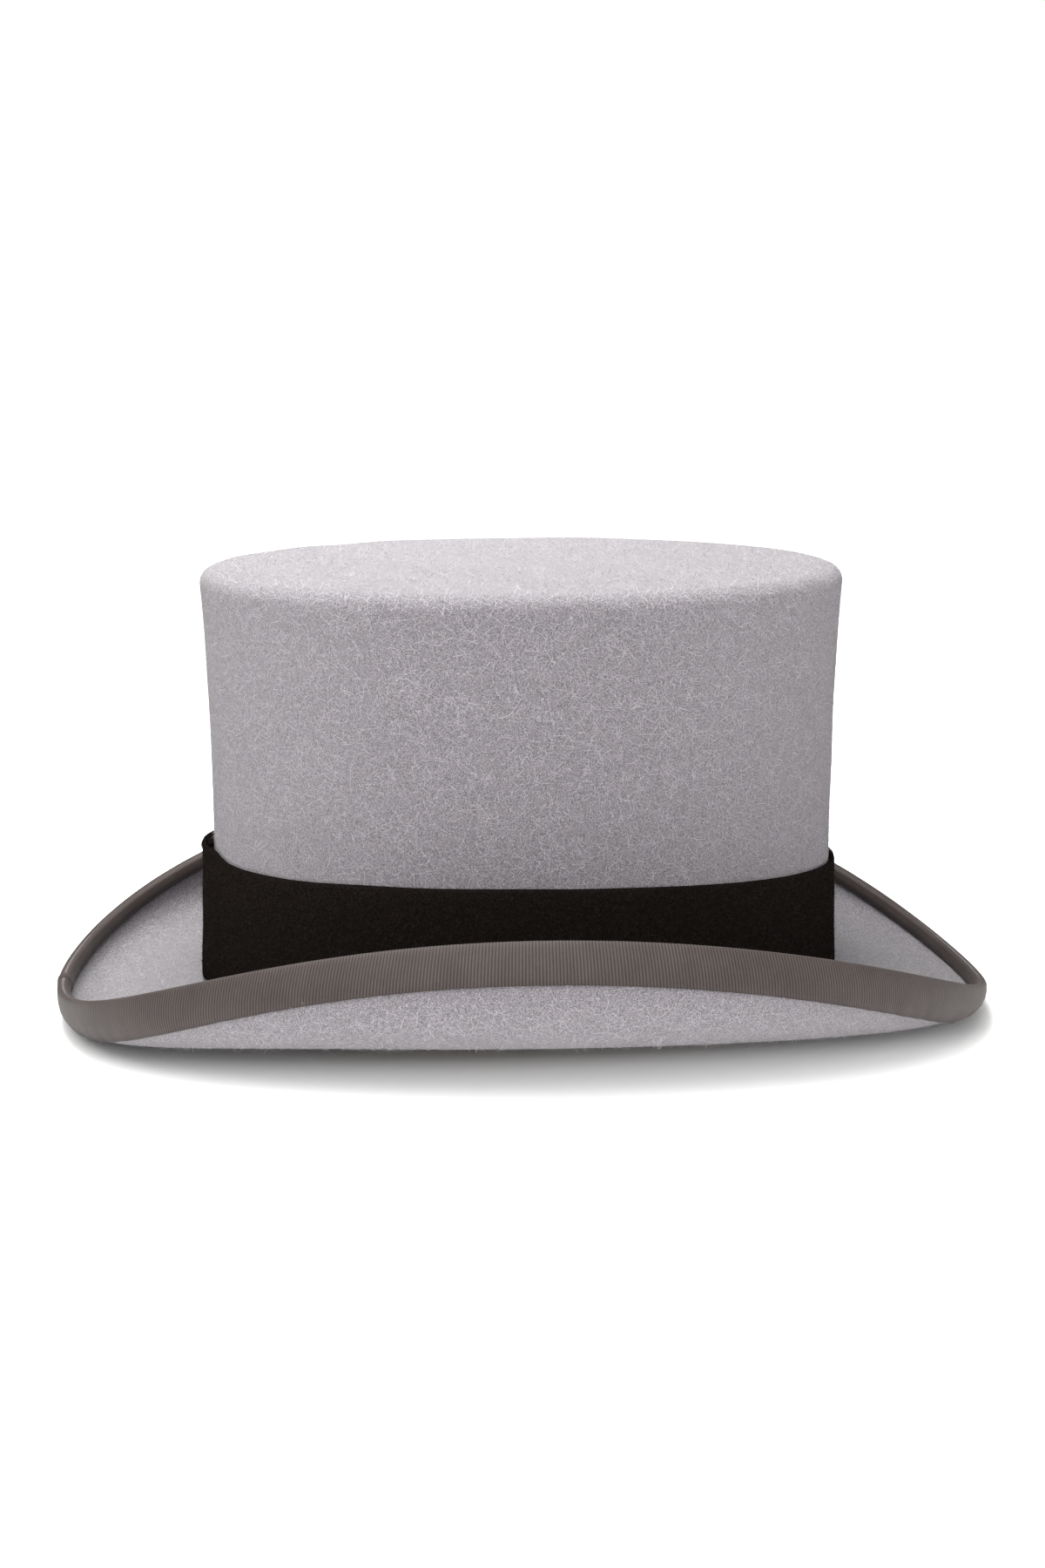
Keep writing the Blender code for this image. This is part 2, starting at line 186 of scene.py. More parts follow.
class Brim:
    """The middle of the brim's felt at an array of stations: a cubic curve at each one."""

    SAMPLES = 160

    def __init__(self, t):
        self.t = t
        self.root = crown_point(t, break_height(t))
        edge = edge_point(t)
        plan = edge[:, :2] - self.root[:, :2]
        reach = np.linalg.norm(plan, axis=1)
        self.out = plan / reach[:, None]
        side = (np.sin(t) ** 2)[:, None]
        front = ((1 + np.cos(t)) / 2)[:, None]
        end = front * np.array(FRONT_SECTION) + (1 - front) * np.array(BACK_SECTION)
        l1, a1, l2, a2 = (side * np.array(SIDE_SECTION) + (1 - side) * end).T
        a1, a2 = np.radians(a1), np.radians(a2)
        p0 = np.stack([np.full_like(reach, -FELT / 2), self.root[:, 2] - FELT / 2], axis=1)
        p3 = np.stack([reach, edge[:, 2]], axis=1)
        p1 = p0 + l1[:, None] * np.stack([np.cos(a1), np.sin(a1)], axis=1)
        p2 = p3 - l2[:, None] * np.stack([np.cos(a2), np.sin(a2)], axis=1)
        u = np.linspace(0, 1, self.SAMPLES)[None, :, None]
        p0, p1, p2, p3 = (p[:, None] for p in (p0, p1, p2, p3))
        self.curve = (
            (1 - u) ** 3 * p0 + 3 * u * (1 - u) ** 2 * p1 + 3 * u * u * (1 - u) * p2 + u**3 * p3
        )
        self.along = np.stack([along_path(curve) for curve in self.curve])
        self.length = self.along[:, -1]

    def place(self, r, z):
        """Points at (r, z) in each station's upright plane; r and z are (stations, rows)."""
        plan = self.root[:, None, :2] + r[..., None] * self.out[:, None]
        return np.concatenate([plan, z[..., None]], axis=-1)

    def at(self, from_edge):
        """Points at distances from the edge, a row of distances to each station."""
        s = self.length[:, None] - np.broadcast_to(from_edge, (len(self.t), np.shape(from_edge)[-1]))
        r, z = (
            np.stack([np.interp(s[i], self.along[i], self.curve[i, :, k]) for i in range(len(s))])
            for k in (0, 1)
        )
        return self.place(r, z)


# ---- grids and meshes


def grid_normals(grid, closed):
    """Normals of a (stations, rows) grid: outwards where rows run down and stations run with t."""
    if closed:
        onward = (np.roll(grid, -1, 0) - np.roll(grid, 1, 0)) / 2
    else:
        onward = np.gradient(grid, axis=0)
    return unit(np.cross(np.gradient(grid, axis=1), onward))


def quads(count, rows, closed_count, closed_rows):
    """A grid's faces, of four corners each, wrapping round where it is closed."""
    i = np.arange(count if closed_count else count - 1)
    k = np.arange(rows if closed_rows else rows - 1)
    i, k = (a.ravel() for a in np.meshgrid(i, k, indexing="ij"))
    j, m = (i + 1) % count, (k + 1) % rows
    return np.stack([i * rows + k, i * rows + m, j * rows + m, j * rows + k], axis=1)


def cloth_uv(u, v):
    """A grid's uv in metres, a pair a vertex, from its lengths in mm round and across."""
    return np.stack(np.broadcast_arrays(u[:, None], v), axis=-1).reshape(-1, 2) * MM


def new_object(name, data):
    obj = bpy.data.objects.new(name, data)
    bpy.context.scene.collection.objects.link(obj)
    return obj


def new_mesh(name, points, faces, material, uv=None):
    """A smooth object of points in mm and faces of any size, with an optional uv a vertex."""
    mesh = bpy.data.meshes.new(name)
    lists = [f if isinstance(f, list) else f.tolist() for f in faces]
    mesh.from_pydata((np.asarray(points) * MM).tolist(), [], lists)
    if uv is not None:
        corners = np.empty(len(mesh.loops), np.int32)
        mesh.loops.foreach_get("vertex_index", corners)
        layer = mesh.uv_layers.new(name="cloth")
        layer.data.foreach_set("uv", np.asarray(uv, np.float32)[corners].ravel())
    mesh.materials.append(material)
    mesh.shade_smooth()
    mesh.validate()
    obj = new_object(name, mesh)
    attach(obj, "root")
    return obj


def sheet_solid(name, grid, thickness, closed, material, rounding, pole=False, lift=None):
    """A closed solid sheet round a middle surface, with rounded rims.

    grid is (stations, rows, 3). A pole closes the first row over its centre. lift is added to the
    outer face. The uv is metres round and metres across.
    """
    count, rows = grid.shape[:2]
    half = thickness / 2
    normal = grid_normals(grid, closed)
    across = unit(np.gradient(grid, axis=1))
    outer = grid + (half if lift is None else half + lift[..., None]) * normal
    inner = grid - half * normal
    angles = np.linspace(math.pi / 2, -math.pi / 2, rounding + 2)[1:-1]
    last, first = (
        [grid[:, k] + way * (math.sin(a) * normal[:, k] + math.cos(a) * across[:, k]) for a in angles]
        for k, way in ((-1, half), (0, -half))
    )
    ring = [*np.moveaxis(outer, 1, 0), *last, *np.moveaxis(inner, 1, 0)[::-1]]
    if not pole:
        ring += first
    ring = np.stack(ring, axis=1)
    size = ring.shape[1]
    points = ring.reshape(-1, 3)
    faces = list(quads(count, size, closed, not pole))
    v = along_path(grid[count // 2])
    v = np.concatenate([v, np.full(rounding, v[-1]), v[::-1], np.zeros(0 if pole else rounding)])
    uv = cloth_uv(along_path(grid[:, rows // 2]), v)
    if pole:
        for row, way in ((0, 1), (size - 1, -1)):
            centre = points[row::size].mean(axis=0)
            points = np.vstack([points, centre])
            uv = np.vstack([uv, [0, 0]])
            hub = len(points) - 1
            base = np.arange(count) * size + row
            after = np.roll(base, -1)
            fan = np.stack([np.full(count, hub), base, after][::way], axis=1)
            faces += list(fan)
    elif not closed:
        faces.append(list(range(size)))
        faces.append([(count - 1) * size + k for k in reversed(range(size))])
    return new_mesh(name, points, faces, material, uv)


def tubes(name, paths, radius, material, sides=6):
    """Round threads or cords along paths (threads, points, 3), with closed ends."""
    paths = np.asarray(paths, float)
    count, length = paths.shape[:2]
    tangent = unit(np.gradient(paths, axis=1))
    helper = np.where(np.abs(tangent[..., 2:]) < 0.9, [0.0, 0.0, 1.0], [1.0, 0.0, 0.0])
    e1 = unit(np.cross(tangent, helper))
    e2 = np.cross(tangent, e1)
    a = np.arange(sides) * TAU / sides
    taper = np.ones(length)
    taper[[0, -1]] = 0.45
    ring = radius * taper[None, :, None, None] * (
        np.cos(a)[:, None] * e1[:, :, None] + np.sin(a)[:, None] * e2[:, :, None]
    )
    points = (paths[:, :, None] + ring).reshape(-1, 3)
    one = quads(length, sides, False, True)
    each = length * sides
    faces = list((one[None] + np.arange(count)[:, None, None] * each).reshape(-1, 4))
    for c in range(count):
        faces.append([c * each + k for k in reversed(range(sides))])
        faces.append([c * each + (length - 1) * sides + k for k in range(sides)])
    return new_mesh(name, points, faces, material)


def smooth_noise(seed, waves, low, high):
    """A function of two coordinates in mm: a sum of random waves, about -1 to 1."""
    rng = np.random.default_rng(seed)
    heading = rng.uniform(0, TAU, waves)
    size = rng.uniform(low, high, waves)
    phase = rng.uniform(0, TAU, waves)

    def value(x, y):
        total = sum(
            np.sin(TAU * (x * math.cos(h) + y * math.sin(h)) / s + p)
            for h, s, p in zip(heading, size, phase)
        )
        return total / math.sqrt(waves)

    return value


# ---- materials


class Nodes:
    """A material's node tree, with short ways to add and join nodes."""

    def __init__(self, name, color, roughness, sockets=()):
        self.material = bpy.data.materials.new(name)
        self.material.use_nodes = True
        self.tree = self.material.node_tree
        self.shader = self.tree.nodes["Principled BSDF"]
        self.shader.inputs["Base Color"].default_value = (*color, 1.0)
        self.shader.inputs["Roughness"].default_value = roughness
        for key, value in dict(sockets).items():
            self.shader.inputs[key].default_value = value

    def add(self, kind, ins=(), **props):
        node = self.tree.nodes.new("ShaderNode" + kind)
        for key, value in props.items():
            setattr(node, key, value)
        for key, value in dict(ins).items():
            self.put(node.inputs[key], value)
        return node

    def put(self, socket, value):
        if isinstance(value, bpy.types.NodeSocket):
            self.tree.links.new(value, socket)
        elif isinstance(value, (tuple, list)) and len(value) == 3 and socket.type == "RGBA":
            socket.default_value = (*value, 1.0)
        else:
            socket.default_value = value

    def math(self, operation, a, b=0.5, c=None):
        ins = {0: a, 1: b}
        if c is not None:
            ins[2] = c
        return self.add("Math", ins, operation=operation).outputs[0]

    def place(self):
        return self.add("TexCoord").outputs["Object"]

    def uv(self):
        return self.add("UVMap", uv_map="cloth").outputs["UV"]

    def noise(self, vector, scale, detail, roughness=0.5, output="Fac"):
        ins = {"Vector": vector, "Scale": scale, "Detail": detail, "Roughness": roughness}
        return self.add("TexNoise", ins).outputs[output]

    def ramp(self, value, stops):
        node = self.add("ValToRGB", {"Fac": value})
        elements = node.color_ramp.elements
        while len(elements) < len(stops):
            elements.new(0.5)
        for element, (position, color) in zip(elements, stops):
            element.position = position
            element.color = (*color, 1.0) if hasattr(color, "__len__") else (color,) * 3 + (1.0,)
        return node.outputs["Color"]

    def mix(self, factor, a, b, blend="MIX"):
        node = self.add("Mix", data_type="RGBA", blend_type=blend)
        self.put(node.inputs["Factor"], factor)
        self.put(node.inputs[6], a)
        self.put(node.inputs[7], b)
        return node.outputs[2]

    def color(self, socket):
        self.put(self.shader.inputs["Base Color"], socket)

    def roughness(self, socket):
        self.put(self.shader.inputs["Roughness"], socket)

    def bump(self, height, distance, strength):
        ins = {"Height": height, "Distance": distance, "Strength": strength}
        self.put(self.shader.inputs["Normal"], self.add("Bump", ins).outputs["Normal"])


def scaled(color, k):
    return tuple(c * k for c in color)


def strand_lines(m, value, turns):
    """Lines along a noise's contours: 1 on a line, 0 midway between two."""
    wave = m.math("SINE", m.math("MULTIPLY", value, turns * TAU))
    return m.math("MULTIPLY_ADD", wave, 0.5, 0.5)


def felt_material(name, ground, fibre, cool, warm, sheen, depth):
    """Matted wool: curled pale fibres over a darker ground, in faintly cool and warm patches."""
    looks = {"Sheen Weight": sheen, "Sheen Roughness": 0.55, "Specular IOR Level": 0.0}
    m = Nodes(name, ground, 0.96, looks)
    place = m.place()
    warp = m.noise(place, 1000.0, 1.0, output="Color")
    centred = m.add("VectorMath", {0: warp, 1: (0.5, 0.5, 0.5)}, operation="SUBTRACT").outputs[0]
    bent = m.add(
        "VectorMath", {0: centred, 1: (0.0014, 0.0014, 0.0014), 2: place}, operation="MULTIPLY_ADD"
    ).outputs[0]
    curls = m.noise(bent, 800.0, 0.0)
    fine_curls = m.noise(bent, 1250.0, 0.0)
    strands = m.math("ADD", strand_lines(m, curls, 11.0), strand_lines(m, fine_curls, 8.0))
    lines = m.ramp(strands, [(0.5, 0.0), (1.0, 1.0)])
    patches = m.noise(place, 150.0, 2.0)
    tint = m.mix(m.ramp(patches, [(0.38, 0.0), (0.62, 1.0)]), cool, warm)
    body = m.mix(1.0, ground, tint, "MULTIPLY")
    specks = m.noise(place, 2600.0, 0.0)
    shade = m.ramp(specks, [(0.28, 0.63), (0.72, 1.37)])
    m.color(m.mix(1.0, m.mix(lines, body, fibre), shade, "MULTIPLY"))
    m.bump(m.math("ADD", strands, specks), depth, 0.7)
    return m.material


def nap_material(name, color):
    """One loose wool fibre's colour."""
    return Nodes(name, color, 0.9, {"Specular IOR Level": 0.05}).material


def grosgrain_material(name, color):
    """Ribbed ribbon: thick ribs across it, bound by fine threads along it, with painted shade
    darkening the grooves between the ribs.
    """
    looks = {"Sheen Weight": 0.05, "Sheen Roughness": 0.4, "Specular IOR Level": 0.25}
    m = Nodes(name, color, 0.62, looks)
    u, v, _ = m.add("SeparateXYZ", {0: m.uv()}).outputs
    rib = m.math("COSINE", m.math("MULTIPLY", u, TAU / (RIB_PITCH * MM)))
    crest = m.math("MULTIPLY_ADD", rib, 0.5, 0.5)
    turns = m.math("MULTIPLY", v, TAU / (0.42 * MM))
    rib_number = m.math("FLOOR", m.math("MULTIPLY_ADD", u, 1 / (RIB_PITCH * MM), 0.5))
    shift = m.math("MULTIPLY", rib_number, math.pi)
    thread = m.math("SINE", m.math("ADD", turns, shift))
    place = m.place()
    uneven = m.noise(place, 70.0, 4.0, 0.7)
    fine = m.noise(place, 2600.0, 2.0, 0.7)
    # painted shade: the colour is darkened in the grooves between the ribs, where shade falls
    painted_groove_shade = m.ramp(crest, [(0.0, 0.36), (0.6, 1.05)])
    worn = m.ramp(uneven, [(0.3, 0.82), (0.7, 1.14)])
    speck = m.ramp(fine, [(0.3, 0.86), (0.7, 1.14)])
    shaded = color
    for layer in (painted_groove_shade, worn, speck):
        shaded = m.mix(1.0, shaded, layer, "MULTIPLY")
    m.color(shaded)
    m.roughness(m.math("MULTIPLY_ADD", fine, 0.3, 0.45))
    height = m.math("ADD", m.math("MULTIPLY", thread, 0.25), fine)
    m.bump(height, 0.00006, 0.5)
    return m.material


def woven_material(name, color, roughness, pitch, contrast, bump, sockets=()):
    """Plain weave: crossing threads at a pitch in mm, with slubs and faint unevenness."""
    m = Nodes(name, color, roughness, sockets)
    u, v, _ = m.add("SeparateXYZ", {0: m.uv()}).outputs
    warp, weft = (m.math("SINE", m.math("MULTIPLY", k, TAU / (pitch * MM))) for k in (u, v))
    weave = m.math("MULTIPLY_ADD", m.math("MULTIPLY", warp, weft), 0.5, 0.5)
    place = m.place()
    slub = m.noise(place, 180.0, 4.0, 0.6)
    threads = m.ramp(weave, [(0.0, 1.0 - contrast), (1.0, 1.0)])
    uneven = m.ramp(slub, [(0.3, 1.0 - 0.6 * contrast), (0.7, 1.0)])
    m.color(m.mix(1.0, m.mix(1.0, color, threads, "MULTIPLY"), uneven, "MULTIPLY"))
    m.roughness(m.math("MULTIPLY_ADD", slub, 0.2, roughness - 0.1))
    m.bump(m.math("ADD", weave, slub), bump, 0.5)
    return m.material


def leather_material(name, color):
    """Smooth skived leather: a cloudy tone, fine pebbled grain and pores."""
    m = Nodes(name, color, 0.42, {"Coat Weight": 0.08, "Coat Roughness": 0.35})
    place = m.place()
    cells = m.add("TexVoronoi", {"Vector": place, "Scale": 1500.0}).outputs["Distance"]
    cloud = m.noise(place, 35.0, 5.0, 0.6)
    fine = m.noise(place, 700.0, 3.0, 0.6)
    tone = m.ramp(cloud, [(0.3, scaled(color, 0.82)), (0.7, scaled(color, 1.14))])
    pores = m.ramp(cells, [(0.0, 0.8), (0.35, 1.0)])
    m.color(m.mix(1.0, tone, pores, "MULTIPLY"))
    m.roughness(m.math("MULTIPLY_ADD", fine, 0.3, 0.3))
    m.bump(m.math("ADD", cells, m.math("MULTIPLY", fine, 0.5)), 0.00012, 0.5)
    return m.material


def card_material(name, color):
    """Uncoated card with a faint pulp."""
    m = Nodes(name, color, 0.8)
    place = m.place()
    pulp = m.noise(place, 900.0, 4.0, 0.7)
    m.color(m.mix(1.0, color, m.ramp(pulp, [(0.3, 0.93), (0.7, 1.0)]), "MULTIPLY"))
    m.roughness(m.math("MULTIPLY_ADD", pulp, 0.2, 0.7))
    m.bump(pulp, 0.00004, 0.4)
    return m.material


def plastic_material(name, color):
    """Cloudy drawn plastic."""
    m = Nodes(name, color, 0.25, {"Transmission Weight": 0.35, "IOR": 1.46})
    place = m.place()
    drawn = m.noise(place, 300.0, 3.0)
    m.roughness(m.math("MULTIPLY_ADD", drawn, 0.2, 0.15))
    m.bump(drawn, 0.00003, 0.3)
    return m.material


FELT_GROUND = (0.1285, 0.1183, 0.1293)
FELT_FIBRE = (0.2475, 0.2283, 0.2483)
GREY_FELT = felt_material(
    "grey_felt", FELT_GROUND, FELT_FIBRE, (0.99, 0.995, 1.01), (1.01, 1.0, 0.99), 0.22, 0.0002
)
NAP_LIGHT = nap_material("nap_light", (0.42, 0.394, 0.42))
NAP_MID = nap_material("nap_mid", (0.26, 0.243, 0.26))
NAP_DARK = nap_material("nap_dark", (0.155, 0.143, 0.155))
BLACK_FELT = felt_material(
    "black_felt", (0.0036, 0.0027, 0.0024), (0.0135, 0.0108, 0.0096), (0.95, 1.0, 1.05),
    (1.05, 1.0, 0.95), 0.0, 0.00028,
)
NAP_BLACK = nap_material("nap_black", (0.021, 0.017, 0.0152))
GROSGRAIN = grosgrain_material("taupe_grosgrain", (0.0468, 0.0348, 0.0326))
LEATHER = leather_material("tan_leather", (0.32, 0.17, 0.085))
REED_PLASTIC = plastic_material("clear_plastic", (0.75, 0.75, 0.72))
COTTON = woven_material("cotton_tape", (0.55, 0.5, 0.42), 0.85, 0.5, 0.3, 0.00008)
BOW_SATIN = woven_material(
    "bow_satin", (0.02, 0.019, 0.02), 0.4, 0.2, 0.2, 0.00002, {"Sheen Weight": 0.2}
)
IVORY_SATIN = woven_material(
    "ivory_satin", (0.76, 0.73, 0.67), 0.36, 0.22, 0.08, 0.00003,
    {"Sheen Weight": 0.25, "Anisotropic": 0.5},
)
CARD = card_material("ticket_card", (0.8, 0.78, 0.72))
LABEL = woven_material("label_satin", (0.82, 0.82, 0.8), 0.5, 0.3, 0.12, 0.00004)
THREAD_BLACK = woven_material("thread_black", (0.02, 0.018, 0.017), 0.6, 0.3, 0.2, 0.00003)
THREAD_TAN = woven_material("thread_tan", (0.42, 0.27, 0.16), 0.6, 0.3, 0.2, 0.00003)
THREAD_WHITE = woven_material("thread_white", (0.75, 0.72, 0.66), 0.6, 0.3, 0.2, 0.00003)
INK = nap_material("ticket_ink", (0.03, 0.03, 0.035))


# ---- felt body


TIP_SHARES = np.array([0.06, 0.14, 0.24, 0.34, 0.44, 0.54, 0.64, 0.74, 0.83, 0.9, 0.96])
RIM_ROWS, WALL_ROWS, TURN_ROWS, REACH_ROWS, EDGE_ROWS = 9, 30, 6, 26, 12


def felt_grid(t):
    """The middle of the felt, from near the tip's centre out to the brim's edge."""
    middle = FELT / 2
    shoulder = CROWN_TOP - RIM_RADIUS
    flat = crown_point(t, shoulder, RIM_RADIUS)
    flat[:, 2] = CROWN_TOP - middle
    tip = flat[:, None] * np.stack([TIP_SHARES, TIP_SHARES, np.ones_like(TIP_SHARES)], axis=1)
    angles = np.radians(np.linspace(90, 0, RIM_ROWS))
    radius = RIM_RADIUS - middle
    rim = crown_point(t[:, None], shoulder, RIM_RADIUS - radius * np.cos(angles))
    rim[..., 2] = shoulder + radius * np.sin(angles)
    brim = Brim(t)
    corner_height = break_height(t) - middle
    foot = corner_height + BREAK_FILLET
    share = np.linspace(0, 1, WALL_ROWS + 1)[1:]
    heights = shoulder * (1 - share) + foot[:, None] * share
    wall = crown_point(t[:, None], heights, middle)
    corner = brim.place(np.full((len(t), 1), -middle), corner_height[:, None])
    first = brim.length - BREAK_FILLET
    leave = brim.at(first[:, None])
    u = np.linspace(0, 1, TURN_ROWS + 2)[1:-1][None, :, None]
    turn = (1 - u) ** 2 * wall[:, -1:] + 2 * u * (1 - u) * corner + u * u * leave
    share = np.linspace(0, 1, REACH_ROWS)
    reach = brim.at(first[:, None] * (1 - share) + RIBBON_OUTSIDE * share)
    edge = brim.at(np.linspace(RIBBON_OUTSIDE, 0, EDGE_ROWS + 1)[1:])
    return np.concatenate([tip, rim, wall, turn, reach, edge], axis=1)


def make_felt():
    """The hood of felt, with slight swells above the band. Gives its grid and how far they rise."""
    t = stations(400)
    grid = felt_grid(t)
    swell = smooth_noise(11, 9, 26.0, 70.0)
    z = grid[..., 2]
    shown = np.clip((z - (BAND_TOP + 8)) / 12, 0, 1)
    lift = FELT_SWELL * shown * swell(grid[..., 0] + grid[..., 1] * 0.7, z * 1.4 + grid[..., 1] * 0.6)
    body = sheet_solid("felt_hood", grid, FELT, True, GREY_FELT, pole=True, rounding=7, lift=lift)
    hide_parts("felt_body")
    return grid, lift


NAP_STEPS = 5  # points along a fibre
NAP_BEND, NAP_HOOK = 0.9, 0.5  # radians: how far a fibre turns along its length, and near its end


def make_nap(name, faces_of, count, length, lift, width, material, seed):
    """Loose fibres lying on and curling off surfaces, as thin bent strips.

    faces_of is a list of (grid, normals, share of each quad that carries fibres). length and lift
    are ranges in mm, and most fibres stay near the lower end of lift.
    """
    rng = np.random.default_rng(seed)
    corners, ups, weights = [], [], []
    for grid, normals, share in faces_of:
        after, after_n = np.roll(grid, -1, 0), np.roll(normals, -1, 0)
        quad, quad_n = (
            np.stack([g[:, :-1], g[:, 1:], h[:, :-1], h[:, 1:]], axis=2)
            for g, h in ((grid, after), (normals, after_n))
        )
        cross = np.cross(quad[:, :, 1] - quad[:, :, 0], quad[:, :, 2] - quad[:, :, 0])
        corners.append(quad.reshape(-1, 4, 3))
        ups.append(quad_n.reshape(-1, 4, 3))
        weights.append((np.linalg.norm(cross, axis=-1) * share).ravel())
    corners, ups, weights = (np.concatenate(a) for a in (corners, ups, weights))
    pick = rng.choice(len(weights), count, p=weights / weights.sum())
    a, b = rng.random((2, count, 1))
    blend = np.stack([(1 - a) * (1 - b), a * (1 - b), (1 - a) * b, a * b], axis=1)
    root = (corners[pick] * blend).sum(axis=1)
    up = unit((ups[pick] * blend).sum(axis=1))
    e1 = unit(np.cross(up, rng.normal(size=(count, 3))))
    e2 = np.cross(up, e1)
    s = np.linspace(0, 1, NAP_STEPS)
    size = rng.uniform(*length, (count, 1))
    turn, hook = (rng.normal(0, k, (count, 1)) for k in (NAP_BEND, NAP_HOOK))
    heading = turn * s + hook * s * s
    dx = np.cos(heading) * size / (NAP_STEPS - 1)
    dy = np.sin(heading) * size / (NAP_STEPS - 1)
    x = np.cumsum(dx, axis=1) - dx[:, :1]
    y = np.cumsum(dy, axis=1) - dy[:, :1]
    high = lift[0] + (lift[1] - lift[0]) * rng.random((count, 1)) ** 1.8
    rise = high * s ** rng.uniform(0.8, 2.0, (count, 1)) - 0.03
    path = root[:, None] + x[..., None] * e1[:, None] + y[..., None] * e2[:, None]
    path = path + rise[..., None] * up[:, None]
    side = unit(np.cross(up[:, None], np.gradient(path, axis=1)))
    half = width / 2 * (1 - 0.75 * s**2)[None, :, None]
    points = np.stack([path + half * side, path - half * side], axis=2).reshape(-1, 3)
    one = quads(NAP_STEPS, 2, False, False)
    faces = (one[None] + np.arange(count)[:, None, None] * NAP_STEPS * 2).reshape(-1, 4)
    obj = new_mesh(name, points, faces, material)


def make_felt_nap(grid, swell):
    """Loose fibres on the crown above the band, on the brim beyond it, and under the brim."""
    normal = grid_normals(grid, True)
    outer = grid + (FELT / 2 + swell[..., None]) * normal
    inner = grid - FELT / 2 * normal
    t = stations(len(grid))[:, None]
    z = outer[:, :-1, 2]
    rows = np.arange(grid.shape[1] - 1)[None]
    # No fibres where the band, the ribbon or the sweatband hides the felt.
    wall_end = len(TIP_SHARES) + RIM_ROWS + WALL_ROWS
    ribbon_from = grid.shape[1] - EDGE_ROWS
    over_band = (rows < wall_end) & (z > band_top(t) + 0.2)
    beyond_band = (rows >= wall_end + TURN_ROWS + 2) & (rows <= ribbon_from)
    under_brim = (rows >= wall_end + 4) & (rows < ribbon_from - 3)
    upper = (over_band | beyond_band).astype(float)
    faces = [(outer, normal, upper), (inner, -normal, under_brim.astype(float))]
    count = int(FELT_FIBRES * (1.0))
    for name, length, lift, width, material, seed in (
        ("felt_nap_light", (3.0, 7.5), (0.05, 1.2), 0.095, NAP_LIGHT, 21),
        ("felt_nap_mid", (0.8, 2.4), (0.10, 1.3), 0.085, NAP_MID, 22),
        ("felt_nap_pale", (1.0, 3.2), (0.05, 1.0), 0.085, NAP_LIGHT, 23),
        ("felt_nap_dark", (1.0, 2.8), (0.03, 0.5), 0.09, NAP_DARK, 24),
    ):
        make_nap(name, faces, count, length, lift, width, material, seed)


# ---- brim binding


def even_stations(count, start, stop):
    """Stations evenly spaced by length along the brim's edge, and the lengths themselves in mm."""
    fine = np.linspace(start, stop, 6000)
    along = along_path(edge_point(fine))
    want = np.linspace(0, along[-1], count)
    return np.interp(want, along, fine), want


def make_binding():
    """The folded ribbon: ribs across it, small puckers, and its end lapped over its start."""
    span = (BACK - RIBBON_LAP / EDGE_HALF_WIDTH, BACK + TAU)
    ribs = round(even_stations(2, *span)[1][-1] / RIB_PITCH)
    count = ribs * STATIONS_PER_RIB + 1
    t, along = even_stations(count, *span)
    brim = Brim(t)
    inside = np.linspace(RIBBON_INSIDE, 0, 6)
    outside = np.linspace(0, RIBBON_OUTSIDE, 8)
    middle = brim.at(np.concatenate([inside, outside]))
    edge = middle[:, len(inside) - 1]
    samples = np.linspace(RIBBON_OUTSIDE + 1, 0, 40)
    normals = grid_normals(brim.at(samples), False)

    def normal_at(distance):
        index = np.interp(distance, samples[::-1], np.arange(len(samples))[::-1])
        low = int(min(index, len(samples) - 2))
        return unit(normals[:, low] * (1 - (index - low)) + normals[:, low + 1] * (index - low))

    onward = unit(np.cross(unit(np.gradient(edge, axis=0)), normal_at(0.0)))
    inward_point = brim.at(np.array([2.0]))[:, 0]
    onward *= np.sign(((edge - inward_point) * onward).sum(axis=1))[:, None]
    pucker = smooth_noise(31, 5, 7.0, 15.0)
    sway = RIBBON_SWAY * pucker(along, along * 0.0)
    rib = 0.5 + 0.5 * np.cos(TAU * along / RIB_PITCH)
    length = along[-1]
    over = np.clip(length - along, 0, 1)
    start_lap = np.clip((RIBBON_LAP - (length - along)) / 1.5, 0, 1)
    raise_end = RIBBON_LAP_RISE * start_lap * (1 - 0.15 * (1 - over))
    face = RIBBON_FACE + RIB_HEIGHT * (rib - 0.5) + raise_end
    sections = [middle[:, 0] + (FELT / 2 - 0.05) * normal_at(RIBBON_INSIDE)]
    tuck = [0.55, 0.9]
    for share in tuck:
        height = FELT / 2 + (face - FELT / 2) * share
        sections.append(middle[:, 0] + height[:, None] * normal_at(RIBBON_INSIDE))
    for k, d in enumerate(inside):
        inward = d / RIBBON_INSIDE
        height = face + 0.35 * sway * inward + RIBBON_BEAD * math.sin(math.pi * inward**0.7)
        sections.append(middle[:, k] + height[:, None] * normal_at(d))
    for a in np.linspace(90, -90, 9)[1:-1]:
        c, s = math.cos(math.radians(a)), math.sin(math.radians(a))
        rounding = (s * face)[:, None] * normal_at(0.0) + (c * (face - 0.7))[:, None] * onward
        sections.append(edge + rounding)
    for k, d in enumerate(outside):
        bulge = face + sway * (d / RIBBON_OUTSIDE) ** 2
        sections.append(middle[:, len(inside) + k] - bulge[:, None] * normal_at(d))
    for share in reversed(tuck):
        height = FELT / 2 + (face + sway - FELT / 2) * share
        sections.append(middle[:, -1] - height[:, None] * normal_at(RIBBON_OUTSIDE))
    sections.append(middle[:, -1] - (FELT / 2 - 0.05) * normal_at(RIBBON_OUTSIDE))
    grid = np.stack(sections, axis=1)
    size = grid.shape[1]
    uv = cloth_uv(along, along_path(grid[count // 4]))
    faces = quads(count, size, False, False)[:, ::-1]
    obj = new_mesh("brim_ribbon", grid.reshape(-1, 3), faces, GROSGRAIN, uv)
    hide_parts("brim_binding")


# ---- hat band


